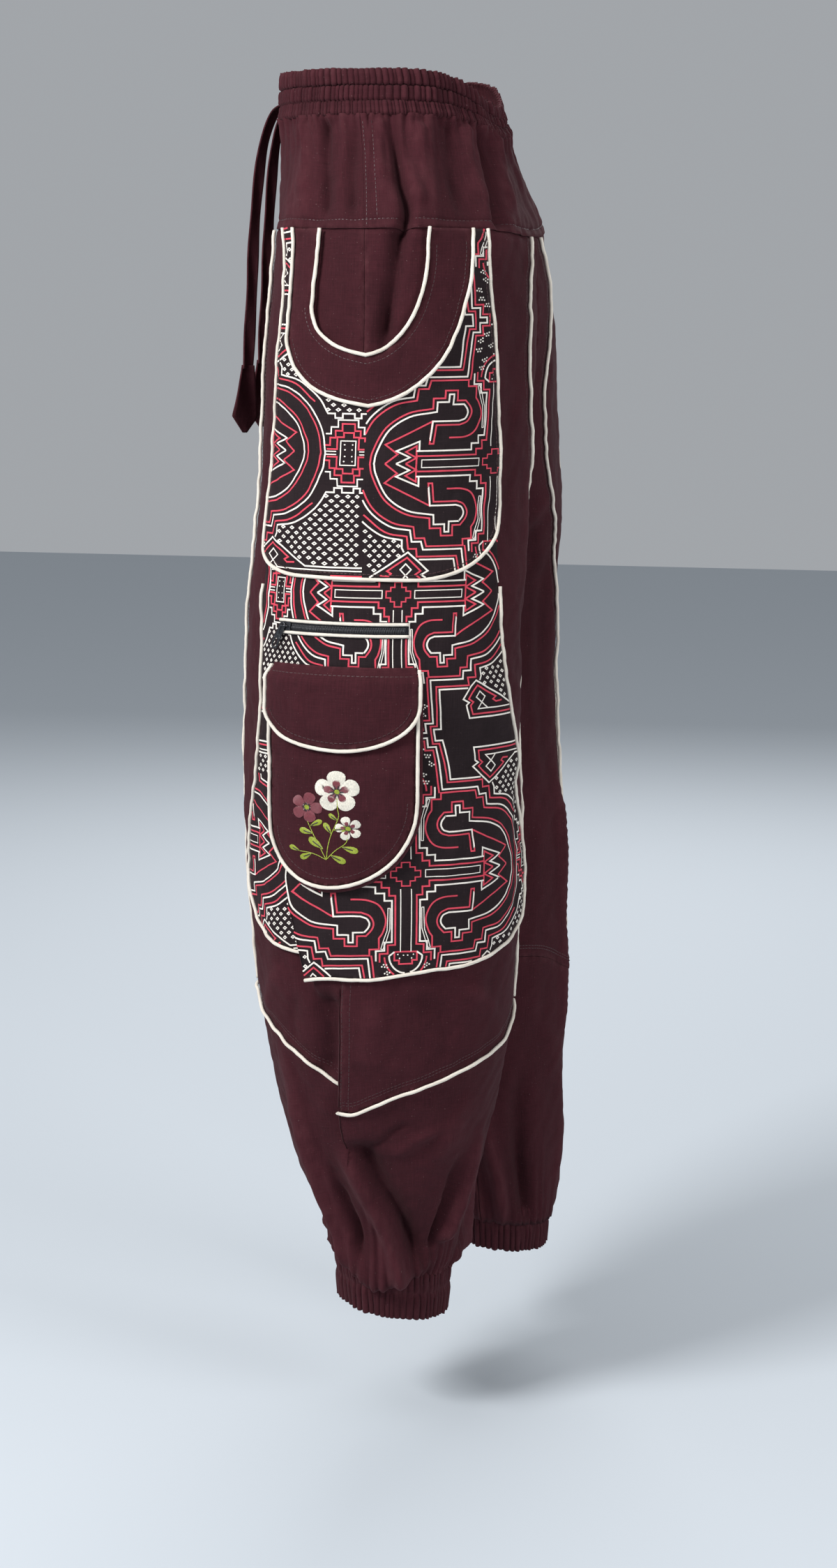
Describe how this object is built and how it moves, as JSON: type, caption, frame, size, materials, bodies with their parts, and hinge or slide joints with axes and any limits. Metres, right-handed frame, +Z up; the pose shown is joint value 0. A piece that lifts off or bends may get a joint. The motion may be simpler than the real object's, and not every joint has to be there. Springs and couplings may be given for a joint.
{
  "type": "harem pants",
  "caption": "Worn harem trousers with an elastic waist, baggy legs, printed side panels, scooped hip pockets, a flap cargo pocket, a side zip and piped seams.",
  "frame": {"origin": "on the middle plane at the level of the waistband's upper edge, inside the waist opening and over the side seams, where the wearer's waist holds the garment", "axes": "+Z up, out of the waist; the front faces -Y; the wearer's left leg is at +X"},
  "size_m": [0.4346, 0.2669, 1.0334],
  "materials": {
    "brown_cotton": "plain-weave cotton, dark wine brown, matt, softly crumpled",
    "printed_cotton": "plain-weave cotton, screen printed in crimson and cream lines on near black",
    "cream_piping": "cream cotton cord in a bias cover",
    "zip_tape": "black woven polyester tape",
    "zip_nylon": "black moulded coil teeth",
    "zip_metal": "black enamelled zinc"
  },
  "bodies": {
    "pants": {"back_panel_left": "brown_cotton", "back_panel_right": "brown_cotton", "back_piping_left": "cream_piping", "back_piping_right": "cream_piping", "back_side_panel_left": "brown_cotton", "back_side_panel_right": "brown_cotton", "cargo_bellows": "brown_cotton", "cargo_flap": "brown_cotton", "cargo_piping": "cream_piping", "cargo_pocket": "brown_cotton", "cuff_left": "brown_cotton", "cuff_right": "brown_cotton", "drawstring_left": "brown_cotton", "drawstring_right": "brown_cotton", "flap_piping": "cream_piping", "front_panel_left": "brown_cotton", "front_panel_right": "brown_cotton", "front_piping_left": "cream_piping", "front_piping_right": "cream_piping", "front_side_panel_left": "brown_cotton", "front_side_panel_right": "brown_cotton", "hip_pocket_left": "printed_cotton", "hip_pocket_piping_left": "cream_piping", "hip_pocket_piping_right": "cream_piping", "hip_pocket_right": "printed_cotton", "knee_piping_left": "cream_piping", "knee_piping_right": "cream_piping", "lower_leg_left": "brown_cotton", "lower_leg_right": "brown_cotton", "mouth_inner_piping_left": "cream_piping", "mouth_inner_piping_right": "cream_piping", "mouth_outer_piping_left": "cream_piping", "mouth_outer_piping_right": "cream_piping", "pocket_mouth_left": "brown_cotton", "pocket_mouth_right": "brown_cotton", "side_panel_left": "printed_cotton", "side_panel_piping_left": "cream_piping", "side_panel_piping_right": "cream_piping", "side_panel_right": "printed_cotton", "waistband": "brown_cotton", "yoke_back": "brown_cotton", "yoke_front": "brown_cotton", "zip_chain": "zip_nylon", "zip_lower_lip": "cream_piping", "zip_slider": "zip_metal", "zip_tape": "zip_tape", "zip_upper_lip": "cream_piping"},
    "zip_pull": {"zip_pull": "zip_metal"}
  },
  "joints": [
    {"name": "zip_pull_swing", "type": "hinge", "parent": "pants", "child": "zip_pull", "pos_m": [0.19123, -0.06741, -0.43716], "axis": [0.8773, -0.4663, 0.1135], "range_deg": [-60, 60]}
  ]
}
